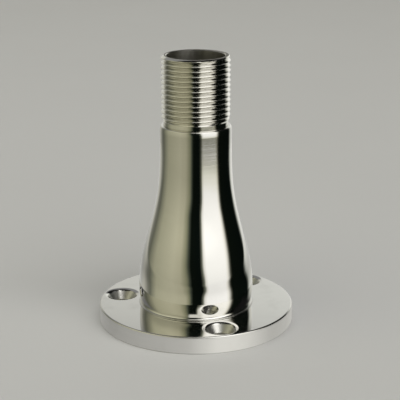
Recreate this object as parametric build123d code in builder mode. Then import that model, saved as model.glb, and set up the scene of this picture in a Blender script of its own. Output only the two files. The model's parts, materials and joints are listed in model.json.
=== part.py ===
from build123d import *
import os
from math import sqrt, tan, radians

# Stanchion base: a screw-down flange, a hollow bell-shaped pedestal and a threaded post end.
# Millimetres. The origin is the centre of the flange's underside, +Z points up the post.

INCH = 25.4

# Whole part
total_height = 4 * INCH  # underside of the flange to the end of the thread

# Flange
flange_radius = 36.75
flange_thickness = 6.7
flange_rim_fillet = 0.5  # top rim
flange_back_chamfer = 0.4  # bottom rim

# Screw holes, for No. 14 flat head screws
screw_count = 3
screw_circle_radius = 2.3125 * INCH / 2
first_screw_angle = 270  # degrees from +X, so one hole is at the front
screw_hole_radius = 3.2
countersink_radius = 6.0
countersink_angle = 82
countersink_lip_fillet = 1.8  # the rim of each countersink is rolled over by polishing

# Pedestal outline: radius and height of the five places that shape the bell
foot_radius, foot_height = 20.98, 7.84
foot_slope = 0.286  # radius gained per millimetre of height, at the foot
belly_radius, belly_height = 21.65, 13.5
flank_radius, flank_height = 18.4, 33.0
waist_radius, waist_height = 15.1, 46.0
neck_radius, neck_height = 13.3, 73.3
shoulder_height = 75.7
neck_crown_radius = 11.0  # the neck's upper edge is rolled in a little, from neck_height up
wall_thickness = 3.0
foot_flare_radius = 0.8  # the hollow curve from the foot down to the lip that rests on the flange
neck_edge_fillet = 0.5

# Spigot at the foot, which passes through the flange and is welded from below
spigot_radius = 18.2
spigot_bore_radius = 15.6
spigot_end_height = 0.9
weld_groove_depth = 2.0  # a 45 degree V at the lower edge of the flange's bore
weld_width = 0.8  # how far the bead laps onto the end of the spigot
weld_crown = 0.3  # how far the bead stands below its own edges

# Threaded sleeve, 1 inch major diameter, 14 threads per inch, 60 degree form
major_radius = INCH / 2
pitch = INCH / 14
thread_turns = 12
thread_depth = 0.6134 * pitch
crest_width = pitch / 8
relief_radius = 11.95  # the plain length between the shoulder and the thread
relief_length = 1.7
sleeve_bore_radius = 10.75
sleeve_end_chamfer = 0.65
sleeve_bore_chamfer = 0.3
sleeve_tail_radius = 11.9  # the plain length inside the neck
sleeve_tail_length = 15.0
throat_radius = 11.0  # the pedestal's own bore below the sleeve
throat_top_height = shoulder_height - sleeve_tail_length
throat_bottom_height = 54.0
braze_chamfer = 0.7  # the groove at the sleeve's lower edge, filled with brazing metal

os.makedirs("parts", exist_ok=True)


# Flange plate: a disc with a bore for the spigot and three countersunk holes
with BuildPart() as flange_plate:
    Cylinder(flange_radius, flange_thickness, align=(Align.CENTER, Align.CENTER, Align.MIN))
    top_face = flange_plate.faces().sort_by(Axis.Z)[-1]
    bottom_face = flange_plate.faces().sort_by(Axis.Z)[0]
    fillet(top_face.edges(), flange_rim_fillet)
    chamfer(bottom_face.edges(), flange_back_chamfer)

    Hole(spigot_radius)
    bore_mouth = flange_plate.faces().sort_by(Axis.Z)[0].edges().sort_by(SortBy.RADIUS)[0]
    chamfer(bore_mouth, weld_groove_depth)

    with Locations((0, 0, flange_thickness)):
        with PolarLocations(screw_circle_radius, screw_count, start_angle=first_screw_angle):
            CounterSinkHole(
                screw_hole_radius,
                countersink_radius,
                depth=flange_thickness,
                counter_sink_angle=countersink_angle,
            )
    countersink_rims = (
        flange_plate.edges()
        .filter_by(GeomType.CIRCLE)
        .filter_by(lambda edge: abs(edge.radius - countersink_radius) < 0.01)
    )
    fillet(countersink_rims, countersink_lip_fillet)


# Pedestal body: a bell with an even wall, a spigot below and a socket for the sleeve above
foot_run = sqrt(1 + foot_slope**2)
lip_radius = foot_radius + foot_flare_radius / foot_run
lip_height = foot_height - foot_flare_radius * (1 + foot_slope / foot_run)
crown_rise = shoulder_height - neck_height
shoulder_radius = neck_radius - neck_crown_radius + sqrt(neck_crown_radius**2 - crown_rise**2)

with BuildPart() as pedestal_body:
    with BuildSketch(Plane.XZ):
        with BuildLine():
            TangentArc(
                (foot_radius, foot_height),
                (lip_radius, lip_height),
                tangent=(-foot_slope, -1),
            )
            outer_curve = Spline(
                (foot_radius, foot_height),
                (belly_radius, belly_height),
                (flank_radius, flank_height),
                (waist_radius, waist_height),
                (neck_radius, neck_height),
                tangents=[(foot_slope, 1), (0, 1)],
            )
            TangentArc(
                (neck_radius, neck_height),
                (shoulder_radius, shoulder_height),
                tangent=(0, 1),
            )
            socket_line = Polyline(
                (shoulder_radius, shoulder_height),
                (sleeve_tail_radius, shoulder_height),
                (sleeve_tail_radius, throat_top_height),
                (throat_radius, throat_top_height),
                (throat_radius, throat_bottom_height),
            )
            inner_curve = Spline(
                (throat_radius, throat_bottom_height),
                (waist_radius - wall_thickness, waist_height),
                (flank_radius - wall_thickness, flank_height),
                (belly_radius - wall_thickness, belly_height),
                (spigot_bore_radius, flange_thickness),
                tangents=[(0, -1), (-1, -1)],
            )
            spigot_line = Polyline(
                (spigot_bore_radius, flange_thickness),
                (spigot_bore_radius, spigot_end_height),
                (spigot_radius, spigot_end_height),
                (spigot_radius, flange_thickness),
                (lip_radius, flange_thickness),
                (lip_radius, lip_height),
            )
        make_face()
    revolve(axis=Axis.Z)

    rims = pedestal_body.edges().filter_by(GeomType.CIRCLE)
    neck_rim = rims.filter_by_position(Axis.Z, shoulder_height, shoulder_height)
    fillet(neck_rim.sort_by(SortBy.RADIUS)[-1], neck_edge_fillet)


# Threaded sleeve: the thread is cut as one ring for each turn, at the true pitch and form
thread_top = total_height - sleeve_end_chamfer
flank_height_drop = thread_depth * tan(radians(30))
root_radius = major_radius - thread_depth
thread_points = []
for turn in range(thread_turns + 1):
    crest_top = thread_top - turn * pitch
    thread_points.append((major_radius, crest_top))
    thread_points.append((major_radius, crest_top - crest_width))
    if turn < thread_turns:
        thread_points.append((root_radius, crest_top - crest_width - flank_height_drop))
        thread_points.append((root_radius, crest_top - pitch + flank_height_drop))

with BuildPart() as threaded_sleeve:
    with BuildSketch(Plane.XZ):
        with BuildLine():
            Polyline(
                (sleeve_bore_radius, total_height - sleeve_bore_chamfer),
                (sleeve_bore_radius + sleeve_bore_chamfer, total_height),
                (major_radius - sleeve_end_chamfer, total_height),
                *thread_points,
                (relief_radius, shoulder_height + relief_length),
                (relief_radius, shoulder_height),
                (sleeve_tail_radius, shoulder_height),
                (sleeve_tail_radius, throat_top_height + braze_chamfer),
                (sleeve_tail_radius - braze_chamfer, throat_top_height),
                (sleeve_bore_radius, throat_top_height),
                close=True,
            )
        make_face()
    revolve(axis=Axis.Z)


# Foot weld: a ring of weld in the V between the flange's bore and the end of the spigot
with BuildPart() as foot_weld:
    weld_outer_radius = spigot_radius + weld_groove_depth - spigot_end_height
    with BuildSketch(Plane.XZ):
        with BuildLine():
            Polyline(
                (spigot_radius - weld_width, spigot_end_height),
                (spigot_radius, spigot_end_height),
                (spigot_radius, weld_groove_depth),
                (weld_outer_radius, spigot_end_height),
            )
            ThreePointArc(
                (weld_outer_radius, spigot_end_height),
                (spigot_radius, spigot_end_height - weld_crown),
                (spigot_radius - weld_width, spigot_end_height),
            )
        make_face()
    revolve(axis=Axis.Z)


# Neck braze ring: brazing metal in the chamfer at the lower edge of the sleeve
with BuildPart() as neck_braze_ring:
    with BuildSketch(Plane.XZ):
        with BuildLine():
            Polyline(
                (sleeve_tail_radius, throat_top_height),
                (sleeve_tail_radius, throat_top_height + braze_chamfer),
                (sleeve_tail_radius - braze_chamfer, throat_top_height),
                close=True,
            )
        make_face()
    revolve(axis=Axis.Z)


flange_plate.part.label = "flange_plate"
export_step(flange_plate.part, "parts/flange_plate.step")

pedestal_body.part.label = "pedestal_body"
export_step(pedestal_body.part, "parts/pedestal_body.step")

threaded_sleeve.part.label = "threaded_sleeve"
export_step(threaded_sleeve.part, "parts/threaded_sleeve.step")

foot_weld.part.label = "foot_weld"
export_step(foot_weld.part, "parts/foot_weld.step")

neck_braze_ring.part.label = "neck_braze_ring"
export_step(neck_braze_ring.part, "parts/neck_braze_ring.step")
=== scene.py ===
import json
from math import asin, atan, atan2, ceil, cos, pi, radians, sin, sqrt, tan

import bmesh
import bpy
import numpy as np
from mathutils import Matrix, Vector


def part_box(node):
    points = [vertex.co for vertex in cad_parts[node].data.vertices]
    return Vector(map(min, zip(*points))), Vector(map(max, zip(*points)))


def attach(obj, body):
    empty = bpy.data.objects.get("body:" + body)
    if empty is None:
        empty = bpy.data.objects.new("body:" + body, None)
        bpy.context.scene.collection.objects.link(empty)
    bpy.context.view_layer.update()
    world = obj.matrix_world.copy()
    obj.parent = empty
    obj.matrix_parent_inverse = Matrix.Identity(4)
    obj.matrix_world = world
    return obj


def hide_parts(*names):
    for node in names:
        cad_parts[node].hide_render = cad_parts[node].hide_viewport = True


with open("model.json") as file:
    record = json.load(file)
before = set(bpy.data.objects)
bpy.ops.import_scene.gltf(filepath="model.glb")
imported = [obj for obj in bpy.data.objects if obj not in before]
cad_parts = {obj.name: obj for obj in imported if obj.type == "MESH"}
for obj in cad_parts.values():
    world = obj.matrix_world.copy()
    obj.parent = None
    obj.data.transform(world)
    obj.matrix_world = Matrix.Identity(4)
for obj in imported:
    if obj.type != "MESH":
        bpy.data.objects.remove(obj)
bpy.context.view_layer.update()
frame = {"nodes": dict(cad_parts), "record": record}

MM = 0.001


# ---------------------------------------------------------------------------------------------
# Sizes, from the frame where the frame has them
# ---------------------------------------------------------------------------------------------

mounts = {mount["name"]: mount for mount in frame["record"]["mounts"]}

flange_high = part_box("flange_plate")[1]
FLANGE_RADIUS = flange_high.x
FLANGE_TOP = flange_high.z
RIM_FILLET = 0.5 * MM
BACK_CHAMFER = 0.4 * MM

SCREW_COUNT = mounts["deck_screws"]["dims"]["count"]
SCREW_CIRCLE_RADIUS = mounts["deck_screws"]["dims"]["pcd_mm"] / 2 * MM
SCREW_HOLE_RADIUS = mounts["deck_screws"]["dims"]["hole_r_mm"] * MM
FIRST_SCREW_ANGLE = radians(270)
COUNTERSINK_RADIUS = 6.0 * MM
COUNTERSINK_SLANT = radians(82 / 2)  # from the hole's axis
COUNTERSINK_LIP = 1.8 * MM  # rolled over by polishing
SCREW_HOLE_BREAK = 0.25 * MM
SCREW_HOLE_FILLET = 0.3 * MM  # where the countersink meets the hole

pedestal_low, pedestal_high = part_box("pedestal_body")
SHOULDER_HEIGHT = pedestal_high.z
SPIGOT_END = pedestal_low.z
SPIGOT_RADIUS = 18.2 * MM
SPIGOT_BORE = 15.6 * MM
WELD_GROOVE = 2.0 * MM
WELD_WIDTH = 0.8 * MM
WELD_CROWN = 0.3 * MM
WELD_RIPPLES = 96
WELD_STEPS_PER_RIPPLE = 6
WELD_STEPS = 10
WALL = 3.0 * MM
NECK_FILLET = 0.5 * MM

# The bell's outline, as (radius, height), and how fast its radius grows with height at the foot.
# Below the foot a hollow curve runs out to a lip on the flange. Above the neck the edge is rolled in.
FOOT = (20.98 * MM, 7.84 * MM)
BELLY = (21.65 * MM, 13.5 * MM)
FLANK = (18.4 * MM, 33.0 * MM)
WAIST = (15.1 * MM, 46.0 * MM)
NECK = (13.3 * MM, 73.3 * MM)
FOOT_SLOPE = 0.286
FOOT_FLARE_RADIUS = 0.8 * MM
NECK_CROWN_RADIUS = 11.0 * MM

sleeve_low, sleeve_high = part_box("threaded_sleeve")
SLEEVE_TOP = sleeve_high.z
SLEEVE_END = sleeve_low.z
SLEEVE_BORE = mounts["cable_bore"]["dims"]["r_mm"] * MM
SLEEVE_TAIL_RADIUS = 11.9 * MM
THROAT_RADIUS = 11.0 * MM
THROAT_BOTTOM = 54.0 * MM
END_CHAMFER = 0.65 * MM
BORE_CHAMFER = 0.3 * MM
BRAZE_CHAMFER = 0.7 * MM

# 1 inch x 14 TPI external thread, 60 degree form, right-handed
MAJOR_RADIUS = mounts["antenna_thread"]["dims"]["r_mm"] * MM
PITCH = 25.4 / 14 * MM
THREAD_DEPTH = 0.6134 * PITCH
CREST_WIDTH = PITCH / 8
FLANK_SLANT = radians(30)
CREST_ROUNDING = 0.2 * MM  # how softly the flanks turn into the crest
CREST_FLAT = CREST_WIDTH / 2 / tan(FLANK_SLANT)  # how far above the crest the flanks would meet
ROOT_RADIUS = MAJOR_RADIUS - THREAD_DEPTH
RELIEF_RADIUS = 11.95 * MM  # the plain length between the neck's shoulder and the thread
RELIEF_LENGTH = 1.7 * MM
RELIEF_SLOPE = 0.48  # of the cone that runs out of the relief into the thread
THREAD_START_TURN = 0.03  # where the thread starts, in turns

SEGMENTS = 256
BELL_STEPS = 170
INNER_STEPS = 60
ARC_STEPS = 24
ROWS_PER_PITCH = 24


# ---------------------------------------------------------------------------------------------
# Outlines: arrays of (radius, height) points
# ---------------------------------------------------------------------------------------------

def straight(start, end, steps=1):
    """Points from start to end, both included."""
    share = np.linspace(0, 1, steps + 1)[:, None]
    return np.array(start) * (1 - share) + np.array(end) * share


def spline(knots, first_slope, last_slope, steps):
    """Smooth cubic curve radius(height) through the knots, with its slope given at both ends."""
    radius, height = np.array(knots).T
    gap = np.diff(height)
    rise = np.diff(radius) / gap
    count = len(knots)
    system = np.eye(count)
    known = np.array([first_slope, *np.zeros(count - 2), last_slope])
    for i in range(1, count - 1):
        system[i, i - 1] = gap[i]
        system[i, i] = 2 * (gap[i - 1] + gap[i])
        system[i, i + 1] = gap[i - 1]
        known[i] = 3 * (gap[i] * rise[i - 1] + gap[i - 1] * rise[i])
    slope = np.linalg.solve(system, known)
    z = np.linspace(height[0], height[-1], steps + 1)
    span = np.clip(np.searchsorted(height, z, side="right") - 1, 0, count - 2)
    t = (z - height[span]) / gap[span]
    r = (
        (2 * t**3 - 3 * t**2 + 1) * radius[span]
        + (t**3 - 2 * t**2 + t) * gap[span] * slope[span]
        + (3 * t**2 - 2 * t**3) * radius[span + 1]
        + (t**3 - t**2) * gap[span] * slope[span + 1]
    )
    return np.stack([r, z], axis=1)


def arc(centre, radius, turns):
    """Points on a circle, at angles from the direction of +radius towards +height."""
    return np.stack([centre[0] + radius * np.cos(turns), centre[1] + radius * np.sin(turns)], axis=1)


def join(*curves, fillets=(), steps=12):
    """One outline from curves that meet end to start, with a fillet radius for each meeting.

    A radius of 0 leaves a corner.
    """
    curves = [np.array(curve, float) for curve in curves]
    out = [curves[0]]
    for radius, curve in zip(fillets, curves[1:]):
        before = out.pop()
        corner = curve[0]
        if radius == 0:
            out += [before[:-1], curve]
            continue
        back = before[-2] - corner
        ahead = curve[1] - corner
        back /= np.linalg.norm(back)
        ahead /= np.linalg.norm(ahead)
        half = np.arccos(np.clip(back @ ahead, -1, 1)) / 2
        reach = radius / np.tan(half)
        middle = (back + ahead) / np.linalg.norm(back + ahead)
        centre = corner + middle * radius / np.sin(half)
        first = corner + back * reach - centre
        last = corner + ahead * reach - centre
        turn = np.arctan2(first[0] * last[1] - first[1] * last[0], first @ last)
        angles = np.linspace(0, turn, steps + 1)
        rounded = arc(centre, radius, atan2(first[1], first[0]) + angles)
        keep_before = np.linalg.norm(before - corner, axis=1) > reach * 1.02
        keep_after = np.linalg.norm(curve - corner, axis=1) > reach * 1.02
        out += [before[keep_before], rounded, curve[keep_after]]
    return np.concatenate(out)


# ---------------------------------------------------------------------------------------------
# Meshes
# ---------------------------------------------------------------------------------------------

def ring_of(bm, radius, height, centre=(0, 0), segments=SEGMENTS):
    """A circle of vertices round a vertical axis."""
    angles = np.arange(segments) * 2 * pi / segments
    places = [(centre[0] + radius * cos(a), centre[1] + radius * sin(a), height) for a in angles]
    return [bm.verts.new(place) for place in places]


def bridge(bm, ring_a, ring_b):
    """Quads between two rings of the same count."""
    count = len(ring_a)
    for i in range(count):
        j = (i + 1) % count
        bm.faces.new((ring_a[i], ring_a[j], ring_b[j], ring_b[i]))


def strip(bm, outline, centre=(0, 0), segments=SEGMENTS, closed=False):
    """A turned surface that follows the outline. Returns its first and last rings."""
    rings = [ring_of(bm, r, z, centre, segments) for r, z in outline]
    for ring_a, ring_b in zip(rings, rings[1:]):
        bridge(bm, ring_a, ring_b)
    if closed:
        bridge(bm, rings[-1], rings[0])
    return rings[0], rings[-1]


def ring_edges(bm, ring):
    """The edges along a ring."""
    count = len(ring)
    return [bm.edges.get((ring[i], ring[(i + 1) % count])) for i in range(count)]


def finished(name, bm, node, sharp_angle=28):
    """The object made from bm, which stands for a CAD node."""
    bmesh.ops.remove_doubles(bm, verts=bm.verts, dist=1e-7)
    bmesh.ops.recalc_face_normals(bm, faces=bm.faces)
    mesh = bpy.data.meshes.new(name)
    bm.to_mesh(mesh)
    bm.free()
    mesh.polygons.foreach_set("use_smooth", [True] * len(mesh.polygons))
    mesh.set_sharp_from_angle(angle=radians(sharp_angle))
    piece = bpy.data.objects.new(name, mesh)
    bpy.context.scene.collection.objects.link(piece)
    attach(piece, "root")
    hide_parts(node)
    return piece


def make_flange():
    """The disc, with its rounded rim, three countersunk holes and the bore for the pedestal's spigot."""
    bm = bmesh.new()
    rim = join(
        straight((FLANGE_RADIUS - RIM_FILLET, FLANGE_TOP), (FLANGE_RADIUS, FLANGE_TOP)),
        straight((FLANGE_RADIUS, FLANGE_TOP), (FLANGE_RADIUS, BACK_CHAMFER)),
        straight((FLANGE_RADIUS, BACK_CHAMFER), (FLANGE_RADIUS - BACK_CHAMFER, 0)),
        fillets=(RIM_FILLET, 0),
        steps=16,
    )
    bore = join(
        straight((SPIGOT_RADIUS, FLANGE_TOP), (SPIGOT_RADIUS, WELD_GROOVE)),
        straight((SPIGOT_RADIUS, WELD_GROOVE), (SPIGOT_RADIUS + WELD_GROOVE, 0)),
        fillets=(0,),
    )
    cone_depth = (COUNTERSINK_RADIUS - SCREW_HOLE_RADIUS) / tan(COUNTERSINK_SLANT)
    lip_reach = COUNTERSINK_LIP * tan((pi / 2 - COUNTERSINK_SLANT) / 2)
    hole = join(
        straight((COUNTERSINK_RADIUS + lip_reach, FLANGE_TOP), (COUNTERSINK_RADIUS, FLANGE_TOP)),
        straight((COUNTERSINK_RADIUS, FLANGE_TOP), (SCREW_HOLE_RADIUS, FLANGE_TOP - cone_depth), 8),
        straight((SCREW_HOLE_RADIUS, FLANGE_TOP - cone_depth), (SCREW_HOLE_RADIUS, SCREW_HOLE_BREAK)),
        straight((SCREW_HOLE_RADIUS, SCREW_HOLE_BREAK), (SCREW_HOLE_RADIUS + SCREW_HOLE_BREAK, 0)),
        fillets=(COUNTERSINK_LIP, SCREW_HOLE_FILLET, 0),
        steps=16,
    )
    rings = [strip(bm, rim), strip(bm, bore)]
    for k in range(SCREW_COUNT):
        angle = FIRST_SCREW_ANGLE + 2 * pi * k / SCREW_COUNT
        centre = (SCREW_CIRCLE_RADIUS * cos(angle), SCREW_CIRCLE_RADIUS * sin(angle))
        rings.append(strip(bm, hole, centre, SEGMENTS // 2))
    for side in (0, 1):
        edges = [edge for pair in rings for edge in ring_edges(bm, pair[side])]
        bmesh.ops.triangle_fill(bm, use_beauty=True, use_dissolve=False, edges=edges)
    piece = finished("flange_polished", bm, "flange_plate")
    mark_flat_borders(piece.data)
    return piece


def mark_flat_borders(mesh):
    """Edges between a level face and a curved one are sharp, so that the level face stays exactly flat."""
    level = [abs(face.normal.z) > 0.999999 for face in mesh.polygons]
    sides = {}
    for face, is_level in zip(mesh.polygons, level):
        for key in face.edge_keys:
            sides.setdefault(key, []).append(is_level)
    for edge in mesh.edges:
        if len(set(sides[edge.key])) > 1:
            edge.use_edge_sharp = True


def make_pedestal():
    """The hollow bell, with its flared foot and spigot below and its socket for the sleeve above."""
    outer = spline([FOOT, BELLY, FLANK, WAIST, NECK], FOOT_SLOPE, 0, BELL_STEPS)
    crown_turn = np.linspace(0, asin((SHOULDER_HEIGHT - NECK[1]) / NECK_CROWN_RADIUS), ARC_STEPS)
    crown = arc((NECK[0] - NECK_CROWN_RADIUS, NECK[1]), NECK_CROWN_RADIUS, crown_turn)
    foot_tilt = atan(FOOT_SLOPE)
    flare_centre = (
        FOOT[0] + FOOT_FLARE_RADIUS * cos(foot_tilt),
        FOOT[1] - FOOT_FLARE_RADIUS * sin(foot_tilt),
    )
    flare = arc(flare_centre, FOOT_FLARE_RADIUS, np.linspace(1.5 * pi, pi - foot_tilt, ARC_STEPS))
    lip = tuple(flare[0])
    inner = spline(
        [
            (SPIGOT_BORE, FLANGE_TOP),
            (BELLY[0] - WALL, BELLY[1]),
            (FLANK[0] - WALL, FLANK[1]),
            (WAIST[0] - WALL, WAIST[1]),
            (THROAT_RADIUS, THROAT_BOTTOM),
        ],
        1,
        0,
        INNER_STEPS,
    )[::-1]
    outline = join(
        straight((SPIGOT_RADIUS, FLANGE_TOP), (lip[0], FLANGE_TOP), 4),
        straight((lip[0], FLANGE_TOP), lip),
        flare,
        outer,
        crown,
        straight(crown[-1], (SLEEVE_TAIL_RADIUS, SHOULDER_HEIGHT), 4),
        straight((SLEEVE_TAIL_RADIUS, SHOULDER_HEIGHT), (SLEEVE_TAIL_RADIUS, SLEEVE_END)),
        straight((SLEEVE_TAIL_RADIUS, SLEEVE_END), (THROAT_RADIUS, SLEEVE_END)),
        straight((THROAT_RADIUS, SLEEVE_END), (THROAT_RADIUS, THROAT_BOTTOM)),
        inner,
        straight((SPIGOT_BORE, FLANGE_TOP), (SPIGOT_BORE, SPIGOT_END)),
        straight((SPIGOT_BORE, SPIGOT_END), (SPIGOT_RADIUS, SPIGOT_END)),
        straight((SPIGOT_RADIUS, SPIGOT_END), (SPIGOT_RADIUS, FLANGE_TOP)),
        fillets=(0, 0, 0, 0, NECK_FILLET, 0, 0, 0, 0, 0, 0, 0),
        steps=12,
    )
    bm = bmesh.new()
    strip(bm, outline[:-1], closed=True)
    return finished("pedestal_polished", bm, "pedestal_body")


def thread_radius(angle, height):
    """Radius of the thread's surface: rounded crest, flanks and root.

    The end chamfer and the relief cut it back.
    """
    turns = (SLEEVE_TOP - height) / PITCH + angle / (2 * pi) + THREAD_START_TURN
    from_crest = abs(turns - round(turns)) * PITCH
    flank = (from_crest - CREST_WIDTH / 2) / tan(FLANK_SLANT)
    rounded = (flank + sqrt(flank**2 + CREST_ROUNDING**2)) / 2
    at_crest = (sqrt(CREST_FLAT**2 + CREST_ROUNDING**2) - CREST_FLAT) / 2
    thread = MAJOR_RADIUS - min(rounded - at_crest, THREAD_DEPTH)
    chamfer = MAJOR_RADIUS - END_CHAMFER + (SLEEVE_TOP - height)
    relief = RELIEF_RADIUS + RELIEF_SLOPE * max(height - SHOULDER_HEIGHT - RELIEF_LENGTH, 0)
    return min(thread, chamfer, relief)


def make_sleeve():
    """The post end: a plain tail inside the neck, a relief, the helical thread, and the bore."""
    thread_bottom = SHOULDER_HEIGHT + RELIEF_LENGTH
    turns = ceil((SLEEVE_TOP - thread_bottom) / PITCH) + 1
    offsets = np.arange(-ROWS_PER_PITCH, turns * ROWS_PER_PITCH + 1) * PITCH / ROWS_PER_PITCH
    bm = bmesh.new()
    rows = []
    for offset in offsets:
        row = []
        for k in range(SEGMENTS + 1):
            angle = 2 * pi * k / SEGMENTS
            height = thread_bottom - PITCH + offset + PITCH * angle / (2 * pi)
            height = min(max(height, thread_bottom), SLEEVE_TOP)
            radius = thread_radius(angle, height)
            row.append(bm.verts.new((radius * cos(angle), radius * sin(angle), height)))
        rows.append(row)
    for row_a, row_b in zip(rows, rows[1:]):
        for k in range(SEGMENTS):
            bm.faces.new((row_a[k], row_a[k + 1], row_b[k + 1], row_b[k]))
    bmesh.ops.remove_doubles(bm, verts=bm.verts, dist=1e-8)
    bmesh.ops.dissolve_degenerate(bm, edges=bm.edges, dist=1e-8)

    top_ring = sorted_ring([v for v in bm.verts if abs(v.co.z - SLEEVE_TOP) < 1e-8])
    low_ring = sorted_ring([v for v in bm.verts if abs(v.co.z - thread_bottom) < 1e-8])
    bore_top = (SLEEVE_BORE, SLEEVE_TOP - BORE_CHAMFER)
    bore_end = (SLEEVE_BORE, SLEEVE_END)
    braze_inner = (SLEEVE_TAIL_RADIUS - BRAZE_CHAMFER, SLEEVE_END)
    braze_outer = (SLEEVE_TAIL_RADIUS, SLEEVE_END + BRAZE_CHAMFER)
    tail_top = (SLEEVE_TAIL_RADIUS, SHOULDER_HEIGHT)
    plain = join(
        straight((SLEEVE_BORE + BORE_CHAMFER, SLEEVE_TOP), bore_top),
        straight(bore_top, bore_end),
        straight(bore_end, braze_inner),
        straight(braze_inner, braze_outer),
        straight(braze_outer, tail_top),
        straight(tail_top, (RELIEF_RADIUS, SHOULDER_HEIGHT)),
        fillets=(0,) * 5,
    )
    first, last = strip(bm, plain)
    bridge(bm, top_ring, first)
    bridge(bm, last, low_ring)
    return finished("sleeve_threaded", bm, "threaded_sleeve", sharp_angle=24)


def sorted_ring(verts):
    """The vertices in order of their angle round the axis, from 0."""
    def place(vert):
        turn = atan2(vert.co.y, vert.co.x) % (2 * pi) / (2 * pi)
        return round(turn * SEGMENTS) % SEGMENTS

    return sorted(verts, key=place)


def make_weld():
    """The bead under the foot, laid in overlapping ripples."""
    bm = bmesh.new()
    toe = SPIGOT_RADIUS + WELD_GROOVE - SPIGOT_END
    inner_toe = SPIGOT_RADIUS - WELD_WIDTH
    share = np.linspace(0, 1, WELD_STEPS)
    steps = WELD_RIPPLES * WELD_STEPS_PER_RIPPLE
    rings = []
    for k in range(steps):
        angle = 2 * pi * k / steps
        # Each ripple is a crescent: the middle of the bead runs ahead of its edges
        lead = 0.35 * np.sin(pi * share)
        phase = (k / WELD_STEPS_PER_RIPPLE - lead) % 1
        crown = WELD_CROWN * np.sin(pi * share) * (0.72 + 0.28 * np.sqrt(phase))
        radii = np.concatenate([[SPIGOT_RADIUS], toe + (inner_toe - toe) * share])
        heights = np.concatenate([[WELD_GROOVE], SPIGOT_END - crown])
        rings.append([bm.verts.new((r * cos(angle), r * sin(angle), z)) for r, z in zip(radii, heights)])
    for k in range(steps):
        bridge(bm, rings[k], rings[(k + 1) % steps])
    return finished("weld_bead", bm, "foot_weld", sharp_angle=40)


flange = make_flange()
pedestal = make_pedestal()
sleeve = make_sleeve()
weld = make_weld()


# ---------------------------------------------------------------------------------------------
# Materials
# ---------------------------------------------------------------------------------------------

class Nodes:
    """Short calls for building a node tree."""

    def __init__(self, tree):
        self.tree = tree

    def add(self, kind, inputs=None, **settings):
        """A new node. inputs gives its sockets, by name or number, as values or as other nodes' outputs."""
        node = self.tree.nodes.new("ShaderNode" + kind)
        for key, value in settings.items():
            setattr(node, key, value)
        for key, value in (inputs or {}).items():
            if isinstance(value, bpy.types.NodeSocket):
                self.tree.links.new(value, node.inputs[key])
            else:
                node.inputs[key].default_value = value
        return node

    def maths(self, operation, *values):
        """One step of arithmetic."""
        return self.add("Math", dict(enumerate(values)), operation=operation).outputs[0]

    def total(self, *values):
        """The sum of the values."""
        result = values[0]
        for value in values[1:]:
            result = self.maths("ADD", result, value)
        return result

    def times(self, *values):
        """The product of the values."""
        result = values[0]
        for value in values[1:]:
            result = self.maths("MULTIPLY", result, value)
        return result

    def step(self, value, start, end, before=0.0, after=1.0):
        """A smooth change from before to after, while value goes from start to end."""
        limits = {"Value": value, "From Min": start, "From Max": end, "To Min": before, "To Max": after}
        return self.add("MapRange", limits, interpolation_type="SMOOTHSTEP").outputs["Result"]

    def scale(self, value, start, end):
        """0 to 1 in a straight line, while value goes from start to end."""
        return self.add("MapRange", {"Value": value, "From Min": start, "From Max": end}).outputs["Result"]

    def vector(self, x, y, z):
        """A vector from three values."""
        return self.add("CombineXYZ", {0: x, 1: y, 2: z}).outputs[0]

    def noise(self, place, size, detail=2.0):
        """Noise from 0 to 1, with features of this size in metres."""
        return self.add("TexNoise", {"Vector": place, "Scale": 1 / size, "Detail": detail}).outputs[0]

    def mix(self, share, first, second):
        """A colour between the first and the second."""
        return self.add("Mix", {0: share, 6: first, 7: second}, data_type="RGBA").outputs[2]

    def ramp(self, value, stops):
        """A colour that follows the stops, each a position from 0 to 1 and a colour."""
        node = self.add("ValToRGB", {0: value})
        elements = node.color_ramp.elements
        elements.remove(elements[-1])
        for i, (position, colour) in enumerate(stops):
            element = elements[0] if i == 0 else elements.new(position)
            element.position = position
            element.color = (*colour, 1)
        return node.outputs[0]


class Metal(Nodes):
    """A bare metal. Its object's place gives the marks that turning and polishing leave on it."""

    def __init__(self, name):
        self.material = bpy.data.materials.new(name)
        self.material.use_nodes = True
        super().__init__(self.material.node_tree)
        self.place = self.add("TexCoord").outputs["Object"]
        self.x, self.y, self.z = self.add("SeparateXYZ", {0: self.place}).outputs
        self.radius = self.distance(self.x, self.y)

    def distance(self, x, y):
        """Length of the vector (x, y)."""
        return self.maths("SQRT", self.total(self.times(x, x), self.times(y, y)))

    def tool_lines(self, pitch, radius=None, wander=0.004):
        """Fine lines round an axis, as a lathe or a polishing mop leaves them, fading in and out."""
        radius = self.radius if radius is None else radius
        across = self.times(self.x, wander)
        height = self.total(self.z, self.times(self.y, wander))
        place = self.vector(radius, across, height)
        return self.noise(place, pitch, detail=3.0)

    def finish(self, colour, darker_colour, darkening, roughness, height):
        """Sets the shader. The share from 0 to 1 moves the colour towards the darker one; height is the
        relief of the surface in millimetres.
        """
        shader = self.tree.nodes["Principled BSDF"]
        shader.inputs["Metallic"].default_value = 1
        shade = self.mix(darkening, (*colour, 1), (*darker_colour, 1))
        relief = self.add("Bump", {"Height": height, "Distance": MM, "Strength": 1.0})
        self.tree.links.new(shade, shader.inputs["Base Color"])
        self.tree.links.new(roughness, shader.inputs["Roughness"])
        self.tree.links.new(relief.outputs[0], shader.inputs["Normal"])
        return self.material


STEEL = (0.665, 0.66, 0.64)
DULL_STEEL = (0.585, 0.58, 0.555)
CUT_STEEL = (0.77, 0.76, 0.72)
# The sleeve's darker steel, for its dull bore and dirt, and for the painted shade in the thread's roots
DIRTY_AND_SHADED_STEEL = (0.3, 0.29, 0.26)
WELD_METAL = (0.5, 0.49, 0.46)
HEAT_TINT = (0.42, 0.34, 0.24)
BRAZE_METAL = (0.66, 0.62, 0.5)
DULL_BRAZE = (0.55, 0.5, 0.38)


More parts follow.
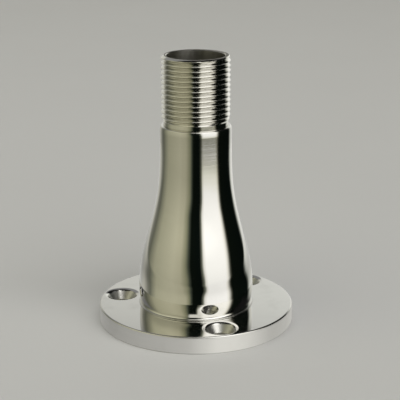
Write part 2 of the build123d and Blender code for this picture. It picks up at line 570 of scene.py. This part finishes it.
def flange_steel():
    """Mirror polish on top, a satin turned rim, and countersunk holes with their own tool lines."""
    metal = Metal("flange_steel")
    rim_start = FLANGE_RADIUS - RIM_FILLET
    rim = metal.step(metal.radius, rim_start + 0.3 * MM, FLANGE_RADIUS)
    sector = 2 * pi / SCREW_COUNT
    angle = metal.maths("SUBTRACT", metal.maths("ARCTAN2", metal.y, metal.x), FIRST_SCREW_ANGLE - sector / 2)
    from_screw = metal.maths("SUBTRACT", metal.maths("FLOORED_MODULO", angle, sector), sector / 2)
    outwards = metal.times(metal.radius, metal.maths("COSINE", from_screw))
    along = metal.maths("SUBTRACT", outwards, SCREW_CIRCLE_RADIUS)
    across = metal.times(metal.radius, metal.maths("SINE", from_screw))
    from_hole = metal.distance(along, across)
    countersink = metal.step(from_hole, COUNTERSINK_RADIUS - 0.9 * MM, COUNTERSINK_RADIUS - 0.2 * MM, 1, 0)

    smudges = metal.step(metal.noise(metal.place, 9 * MM, 4.0), 0.5, 0.75)
    fine = metal.tool_lines(0.22 * MM)
    broad = metal.tool_lines(0.9 * MM)
    hole_lines = metal.tool_lines(0.3 * MM, radius=from_hole)
    waves = metal.noise(metal.place, 14 * MM)
    roughness = metal.total(
        0.05,
        metal.times(smudges, 0.045),
        metal.times(fine, 0.03),
        metal.times(rim, metal.total(0.2, metal.times(broad, 0.12))),
        metal.times(countersink, metal.total(0.2, metal.times(hole_lines, 0.14))),
    )
    height = metal.total(
        metal.times(waves, 0.012),
        metal.times(fine, metal.total(0.0004, metal.times(rim, 0.003))),
        metal.times(broad, metal.total(0.0004, metal.times(rim, 0.004))),
        metal.times(countersink, hole_lines, 0.004),
    )
    darkening = metal.total(metal.times(smudges, 0.35), metal.times(countersink, 0.3), metal.times(rim, fine, 0.5))
    return metal.finish(STEEL, DULL_STEEL, darkening, roughness, height)


def pedestal_steel():
    """Mirror polish with the mop's slight waves, and faint turning lines that are left on the neck."""
    metal = Metal("pedestal_steel")
    neck = metal.step(metal.z, 44 * MM, 64 * MM)
    # Darker and rougher in the crease where the foot meets the flange
    crease = metal.step(metal.z, FLANGE_TOP + 0.15 * MM, FLANGE_TOP + 0.7 * MM, 1, 0)
    inside = metal.step(metal.radius, SPIGOT_RADIUS - 1.5 * MM, SPIGOT_RADIUS - 1.0 * MM, 1, 0)
    low_inside = metal.times(inside, metal.step(metal.z, 20 * MM, 22 * MM, 1, 0))
    smudges = metal.step(metal.noise(metal.place, 11 * MM, 4.0), 0.5, 0.75)
    fine = metal.tool_lines(0.2 * MM)
    broad = metal.tool_lines(1.1 * MM)
    waves = metal.noise(metal.place, 16 * MM)
    roughness = metal.total(
        0.045,
        metal.times(smudges, 0.03),
        metal.times(neck, metal.total(0.015, metal.times(fine, 0.05))),
        metal.times(crease, 0.2),
        metal.times(low_inside, 0.3),
    )
    height = metal.total(
        metal.times(waves, 0.014),
        metal.times(fine, metal.total(0.0002, metal.times(neck, 0.0006))),
        metal.times(broad, metal.total(0.0004, metal.times(neck, 0.0075))),
    )
    darkening = metal.total(metal.times(smudges, 0.3), metal.times(neck, fine, 0.3), metal.times(crease, 0.6))
    return metal.finish(STEEL, DULL_STEEL, darkening, roughness, height)


def sleeve_steel():
    """Turned, not polished: tool lines on the thread, painted shade and patches of dirt in its roots, and a
    rougher, duller bore.
    """
    metal = Metal("sleeve_steel")
    bore = metal.step(metal.radius, SLEEVE_BORE + 0.1 * MM, SLEEVE_BORE + 0.3 * MM, 1, 0)
    root = metal.step(metal.radius, ROOT_RADIUS + 0.05 * MM, ROOT_RADIUS + 0.55 * MM, 1, 0)
    relief_end = SHOULDER_HEIGHT + RELIEF_LENGTH
    above_relief = metal.step(metal.z, relief_end, relief_end + PITCH)
    outside = metal.maths("SUBTRACT", 1, bore)
    below_end = metal.step(metal.z, SLEEVE_TOP - PITCH, SLEEVE_TOP, 1, 0)
    # Painted shade: the thread's roots, which the colour darkens a little all round and more in patches of
    # dirt
    root_shade_and_grime = metal.times(root, above_relief, outside, below_end)
    # Darker just above the neck's shoulder
    corner = metal.step(metal.z, SHOULDER_HEIGHT + 0.1 * MM, SHOULDER_HEIGHT + 0.6 * MM, 1, 0)
    patches = metal.noise(metal.place, 3 * MM, 4.0)
    fine = metal.tool_lines(0.12 * MM)
    streaks = metal.noise(metal.vector(metal.x, metal.y, metal.times(metal.z, 0.15)), 0.9 * MM, 4.0)
    # The end face is darker and rougher
    end_face = metal.step(metal.z, SLEEVE_TOP - 0.03 * MM, SLEEVE_TOP - 0.01 * MM)
    roughness = metal.total(
        0.06,
        metal.times(fine, 0.07),
        metal.times(end_face, 0.45),
        metal.times(bore, metal.total(0.14, metal.times(streaks, 0.16))),
    )
    height = metal.total(
        metal.times(fine, 0.0010),
        metal.times(patches, 0.012),
        metal.times(bore, streaks, 0.05),
    )
    darkening = metal.total(
        metal.times(root_shade_and_grime, metal.total(0.1, metal.times(patches, 0.5))),
        metal.times(bore, metal.total(0.35, metal.times(patches, 0.6))),
        metal.times(end_face, 0.9),
        metal.times(corner, 0.5),
        metal.times(fine, 0.1),
    )
    return metal.finish(CUT_STEEL, DIRTY_AND_SHADED_STEEL, darkening, roughness, height)


def weld_steel():
    """The weld bead: dull, with the straw and grey tints that the heat leaves."""
    metal = Metal("weld_steel")
    tints = metal.noise(metal.place, 4 * MM, 3.0)
    grain = metal.noise(metal.place, 0.25 * MM, 3.0)
    roughness = metal.total(0.34, metal.times(grain, 0.12))
    height = metal.times(grain, 0.01)
    return metal.finish(WELD_METAL, HEAT_TINT, tints, roughness, height)


def braze_metal():
    """Silver brazing metal, warmer than the steel and a little uneven."""
    metal = Metal("braze_metal")
    flow = metal.noise(metal.place, 2 * MM, 3.0)
    roughness = metal.total(0.24, metal.times(flow, 0.14))
    height = metal.times(flow, 0.03)
    return metal.finish(BRAZE_METAL, DULL_BRAZE, flow, roughness, height)


flange.data.materials.append(flange_steel())
pedestal.data.materials.append(pedestal_steel())
sleeve.data.materials.append(sleeve_steel())
weld.data.materials.append(weld_steel())
braze = frame["nodes"]["neck_braze_ring"]
braze.data.materials.clear()
braze.data.materials.append(braze_metal())


# ---------------------------------------------------------------------------------------------
# Studio
# ---------------------------------------------------------------------------------------------

CAMERA_TURN = radians(-17.5)  # the camera stands this far round from the front screw hole

# Where the tables in this section come from. WALLS began as brightness that a separate program
# measured on the bell in the photograph, by mirrored direction, and was then rounded and adjusted.
# MAIN_LIGHT_FOOT, WALL_TOPS, the leans and COLLAR were given after reading such measurements, to
# bring the render nearer to the photograph. They aren't a plain soft light.

# What stands round the object, by the angle from the camera's side, + to its right: a grey wall,
# a beige screen, a gap, the main soft light, another gap, and the grey wall again
WALLS = [
    (-180, (0.70, 0.70, 0.66)),
    (-168, (0.58, 0.58, 0.54)),
    (-150, (0.57, 0.56, 0.49)),
    (-133, (0.22, 0.22, 0.18)),
    (-123, (0.155, 0.16, 0.12)),
    (-96, (0.45, 0.44, 0.31)),
    (-50, (0.56, 0.54, 0.39)),
    (-34, (0.50, 0.48, 0.34)),
    (-24, (0.28, 0.28, 0.18)),
    (-17, (0.06, 0.07, 0.05)),
    (-12, (0.004, 0.006, 0.004)),
    (9, (0.003, 0.005, 0.004)),
    (13, (0.16, 0.17, 0.13)),
    (17, (0.95, 0.93, 0.86)),
    (22, (1.18, 1.17, 1.13)),
    (66, (1.23, 1.21, 1.17)),
    (71, (1.08, 1.05, 0.96)),
    (79, (0.08, 0.08, 0.06)),
    (83, (0.004, 0.006, 0.004)),
    (128.5, (0.003, 0.005, 0.004)),
    (133.5, (0.12, 0.13, 0.11)),
    (140, (0.64, 0.65, 0.60)),
    (147, (0.90, 0.90, 0.83)),
    (166, (0.93, 0.93, 0.89)),
    (173, (0.78, 0.79, 0.75)),
    (180, (0.70, 0.70, 0.66)),
]

# Elevation where the walls end and the dark ceiling starts, by the same angle
WALL_TOPS = [
    (-180, 24),
    (-135, 24),
    (-105, 45),
    (10, 55),
    (18, 67),
    (66, 67),
    (78, 50),
    (110, 24),
    (180, 24),
]

# The walls' brightness towards the floor and above the horizon, and how much more the front half has
# high up
LOW_SHADE = 0.72
HIGH_SHADE = 1.12
FRONT_UPLIGHT = 0.35

# The small light high up in front, which the thread's crests catch
PANEL_LIGHT = (0.85, 0.84, 0.78, 1)

# Its soft edges, each from and to, in the direction's own x, y and z
PANEL_FOOT = (0.67, 0.71)
PANEL_HEAD = (0.83, 0.87)
PANEL_BACK = (-0.45, -0.35)
PANEL_LEFT = (-0.25, -0.15)
PANEL_RIGHT = (0.1, 0.2)

# How the main soft light fades out towards its foot, as the sine of the elevation goes from this to 0
MAIN_LIGHT_FOOT_SINE = -0.3
MAIN_LIGHT_FOOT = [
    (0.0, (0.28, 0.28, 0.23)),
    (0.18, (0.20, 0.20, 0.165)),
    (0.25, (0.31, 0.31, 0.255)),
    (0.31, (0.68, 0.68, 0.59)),
    (0.40, (0.91, 0.91, 0.82)),
    (0.57, (1.0, 1.0, 0.95)),
    (0.72, (1.06, 1.06, 1.05)),
]

# How far the walls lean to the left, in degrees, by the same angle: high up, then near the horizon
# and at the ring's outer edge, then in the middle of the ring, then close to the object
HIGH_LEANS = [
    (-180, 0),
    (-17, 0),
    (4, 12),
    (16, 4),
    (30, 0),
    (180, 0),
]
FAR_LEANS = [
    (-180, 0),
    (-45, 0),
    (-17, -5),
    (8, -2),
    (17, -4),
    (50, 1),
    (75, 4),
    (110, 0),
    (180, 0),
]
LEANS = [
    (-180, 0),
    (-150, -15),
    (-95, -15),
    (-60, -1),
    (-17, -8),
    (5, -4),
    (20, -6),
    (55, 5),
    (112, 14),
    (140, 16),
    (180, 0),
]
CLOSE_LEANS = [
    (-180, 0),
    (-150, -21),
    (-95, -21),
    (-60, -1),
    (-17, -13),
    (2, -2),
    (55, 3),
    (120, 4),
    (150, -5),
    (180, 0),
]

# The degrees of lean that a ramp holds between 0 and 1, with no lean at 0.5
LEAN_SPAN = 60


def round_the_object(stops):
    """Ramp positions for stops given in degrees."""
    return [((degrees + 180) / 360, value) for degrees, value in stops]


def tinted(stops, tint=(1, 1, 1)):
    """Stops of single values, as colours of this tint."""
    return [(place, tuple(value * part for part in tint)) for place, value in stops]


def lean_at(nodes, turn, leans):
    """How far the walls lean at this turn, in radians."""
    stops = tinted([(angle, 0.5 + lean / LEAN_SPAN) for angle, lean in leans])
    share = nodes.ramp(turn, round_the_object(stops))
    return nodes.times(nodes.maths("SUBTRACT", share, 0.5), radians(LEAN_SPAN))


def add_world():
    """The studio that the steel mirrors."""
    world = bpy.data.worlds.new("studio")
    world.use_nodes = True
    nodes = Nodes(world.node_tree)
    direction = nodes.add("TexCoord").outputs["Generated"]
    turned = nodes.add("VectorRotate", {"Vector": direction, "Angle": -CAMERA_TURN}, rotation_type="Z_AXIS")
    x, y, z = nodes.add("SeparateXYZ", {0: turned.outputs[0]}).outputs
    angle = nodes.maths("ARCTAN2", x, nodes.times(y, -1))
    turn = nodes.total(nodes.times(angle, 0.5 / pi), 0.5)
    lean = nodes.total(
        nodes.times(lean_at(nodes, turn, FAR_LEANS), nodes.step(z, -0.06, 0.13, 1, 0)),
        nodes.times(lean_at(nodes, turn, HIGH_LEANS), nodes.step(z, 0.25, 0.55)),
    )
    walls = nodes.ramp(nodes.total(turn, nodes.times(lean, 0.5 / pi)), round_the_object(WALLS))
    tops = nodes.ramp(turn, round_the_object(tinted(WALL_TOPS, (1 / 90,) * 3)))
    elevation = nodes.times(nodes.maths("ARCSINE", z), 2 / pi)
    above = nodes.step(nodes.maths("SUBTRACT", elevation, tops), -0.04, 0.04)
    ceiling = nodes.times(nodes.step(y, 0.0, 0.3, 0.01, 0.25), nodes.step(x, 0.1, 0.33, 1, 0.05))
    panel = nodes.times(
        nodes.step(z, *PANEL_FOOT),
        nodes.step(z, *PANEL_HEAD, 1, 0),
        nodes.step(y, *PANEL_BACK, 1, 0),
        nodes.step(x, *PANEL_LEFT),
        nodes.step(x, *PANEL_RIGHT, 1, 0),
    )
    uplight = nodes.times(nodes.step(z, 0.1, 0.35, 0, FRONT_UPLIGHT), nodes.step(y, -0.1, 0.4, 1, 0))
    shade = nodes.times(nodes.step(z, -0.5, 0.2, LOW_SHADE, HIGH_SHADE), nodes.total(uplight, 1))
    main_light = nodes.times(nodes.step(turn, 0.52, 0.55), nodes.step(turn, 0.71, 0.74, 1, 0))
    falloff = nodes.ramp(nodes.scale(z, MAIN_LIGHT_FOOT_SINE, 0), MAIN_LIGHT_FOOT)
    dimmed = nodes.mix(main_light, (1, 1, 1, 1), falloff)
    room = nodes.mix(above, walls, nodes.vector(ceiling, ceiling, ceiling))
    bright = nodes.mix(panel, room, PANEL_LIGHT)
    product = {0: 1.0, 6: bright, 7: dimmed}
    lit = nodes.add("Mix", product, data_type="RGBA", blend_type="MULTIPLY").outputs[2]
    background = world.node_tree.nodes["Background"]
    world.node_tree.links.new(lit, background.inputs["Color"])
    world.node_tree.links.new(shade, background.inputs["Strength"])
    bpy.context.scene.world = world


def add_stage(name, bm, material):
    """A mesh of the studio, which isn't part of the object."""
    mesh = bpy.data.meshes.new(name)
    bm.to_mesh(mesh)
    bm.free()
    mesh.materials.append(material)
    ob = bpy.data.objects.new(name, mesh)
    ob.rotation_euler.z = CAMERA_TURN
    bpy.context.scene.collection.objects.link(ob)
    return ob


def floor_material():
    """Pale seamless paper."""
    material = bpy.data.materials.new("pale_paper")
    material.use_nodes = True
    nodes = Nodes(material.node_tree)
    place = nodes.add("TexCoord").outputs["Object"]
    fibres = nodes.noise(place, 1.5 * MM, 4.0)
    clouds = nodes.noise(place, 120 * MM)
    shader = material.node_tree.nodes["Principled BSDF"]
    marks = nodes.times(nodes.total(fibres, clouds), 0.5)
    shade = nodes.mix(marks, (0.63, 0.63, 0.63, 1), (0.67, 0.67, 0.67, 1))
    material.node_tree.links.new(shade, shader.inputs["Base Color"])
    material.node_tree.links.new(nodes.step(fibres, 0, 1, 0.8, 0.95), shader.inputs["Roughness"])
    relief = nodes.add("Bump", {"Height": fibres, "Distance": 0.05 * MM})
    material.node_tree.links.new(relief.outputs[0], shader.inputs["Normal"])
    return material


FLOOR_RADIUS = 6.0

# The steel mirrors two lights that stand for the floor: a low collar close to the flange's rim, for
# the rim alone, and a wide ring below the flange, for the belly
GLOW_HEIGHT = -3 * MM
COLLAR_RADIUS = FLANGE_RADIUS + 1.0 * MM
COLLAR_TOP = FLANGE_TOP - 0.75 * MM
RING_RADIUS = 295 * MM

# Distances from the axis over which the ring changes
CLOSE_REACH = (75 * MM, 150 * MM)  # from CLOSE_LEANS to LEANS
FAR_REACH = (190 * MM, RING_RADIUS)  # from LEANS to FAR_LEANS
BRIGHT_REACH = (75 * MM, 125 * MM)  # from RING_BRIGHTNESS to 1
DIM_REACH = (100 * MM, 240 * MM)  # from DIM_SHARE to no dimming, behind the object
RING_BRIGHTNESS = 1.1
DIM_SHARE = 0.34
BEHIND = 80 * MM  # how far behind the axis the dimming is full
LAG_SHARE = 0.55  # of the angle, at which the belly's surface mirrors that angle

# The collar's brightness, by the angle from the camera's side
COLLAR_TINT = (1, 0.99, 0.945)
COLLAR = [
    (-180, 0.62),
    (-62, 0.45),
    (-5, 0.64),
    (12, 1.0),
    (25, 1.0),
    (50, 0.64),
    (110, 0.75),
    (180, 0.62),
]


class Glow(Nodes):
    """A light that only the steel mirrors. Its colour goes by the angle round the object."""

    def __init__(self, name):
        self.material = bpy.data.materials.new(name)
        self.material.use_nodes = True
        super().__init__(self.material.node_tree)
        x, y, _ = self.add("SeparateXYZ", {0: self.add("TexCoord").outputs["Object"]}).outputs
        self.angle = self.maths("ARCTAN2", x, self.times(y, -1))
        self.radius = self.maths("SQRT", self.total(self.times(x, x), self.times(y, y)))

    def colour(self, angle, stops):
        """The stops' colour at this angle."""
        return self.ramp(self.total(self.times(angle, 0.5 / pi), 0.5), round_the_object(stops))

    def shine(self, outline, colour, strength):
        """Adds the turned surface that gives this light."""
        light = self.add("Emission", {"Color": colour, "Strength": strength})
        output = self.tree.nodes["Material Output"]
        self.tree.links.new(light.outputs[0], output.inputs["Surface"])
        bm = bmesh.new()
        strip(bm, outline)
        ob = add_stage(self.material.name, bm, self.material)
        ob.visible_camera = False
        ob.visible_diffuse = False
        ob.visible_shadow = False


def add_collar():
    """The pale floor, as the flange's rim mirrors it."""
    glow = Glow("collar_glow")
    outline = straight((COLLAR_RADIUS, GLOW_HEIGHT), (COLLAR_RADIUS, COLLAR_TOP))
    glow.shine(outline, glow.colour(glow.angle, tinted(COLLAR, COLLAR_TINT)), 1.0)


def add_ring():
    """The walls, as the belly mirrors them below the horizon."""
    glow = Glow("ring_glow")
    turn = glow.total(glow.times(glow.angle, 0.5 / pi), 0.5)
    far = glow.step(glow.radius, *FAR_REACH)
    close = glow.step(glow.radius, *CLOSE_REACH, 1, 0)
    middle = glow.maths("SUBTRACT", 1, glow.total(far, close))
    lean = glow.total(
        glow.times(lean_at(glow, turn, FAR_LEANS), far),
        glow.times(lean_at(glow, turn, LEANS), middle),
        glow.times(lean_at(glow, turn, CLOSE_LEANS), close),
    )
    # A ray that leaves the belly in some direction reaches the ring a little short of that direction
    sideways = glow.times(glow.maths("SINE", glow.times(glow.angle, LAG_SHARE)), BELLY[0])
    lag = glow.maths("DIVIDE", sideways, glow.radius)
    outline = straight((COLLAR_RADIUS, GLOW_HEIGHT), (RING_RADIUS, GLOW_HEIGHT))
    behind = glow.step(glow.times(-1, glow.radius, glow.maths("COSINE", glow.angle)), 0, BEHIND)
    dim = glow.times(behind, glow.step(glow.radius, *DIM_REACH, DIM_SHARE, 0))
    strength = glow.times(
        glow.step(glow.radius, *BRIGHT_REACH, RING_BRIGHTNESS, 1.0),
        glow.maths("SUBTRACT", 1, dim),
    )
    glow.shine(outline, glow.colour(glow.total(glow.angle, lag, lean), WALLS), strength)


def add_floor():
    """The pale floor. The steel mirrors the collar and the ring instead."""
    bm = bmesh.new()
    bm.faces.new(ring_of(bm, FLOOR_RADIUS, 0))
    floor = add_stage("floor", bm, floor_material())
    floor.visible_glossy = False


def add_lamp():
    """A wide soft light overhead, for the floor. The steel doesn't mirror it."""
    lamp = bpy.data.lights.new("soft_light", "AREA")
    lamp.shape = "DISK"
    lamp.size = 1.6
    lamp.energy = 6.5
    ob = bpy.data.objects.new("soft_light", lamp)
    ob.location = (-0.3, -0.2, 1.5)
    ob.rotation_euler = (Vector((0, 0, 0)) - ob.location).to_track_quat("-Z", "Y").to_euler()
    ob.visible_glossy = False
    bpy.context.scene.collection.objects.link(ob)


def add_camera():
    """The photograph's view: a little above the flange's front edge, looking down at the object."""
    camera = bpy.data.cameras.new("camera")
    camera.lens = 109.6
    camera.sensor_width = 36
    camera.clip_start = 0.01
    camera.clip_end = 20
    ob = bpy.data.objects.new("camera", camera)
    bpy.context.scene.collection.objects.link(ob)
    turn = Matrix.Rotation(CAMERA_TURN, 4, "Z")
    place = turn @ Vector((-1.065 * MM, -437.6 * MM, 176.85 * MM))
    aim = turn @ Vector((1.56 * MM, 0, 46.7 * MM))
    ob.location = place
    ob.rotation_euler = (aim - place).to_track_quat("-Z", "Y").to_euler()
    bpy.context.scene.camera = ob


add_floor()
add_collar()
add_ring()
add_world()
add_lamp()
add_camera()
bpy.context.scene.view_settings.view_transform = "Standard"
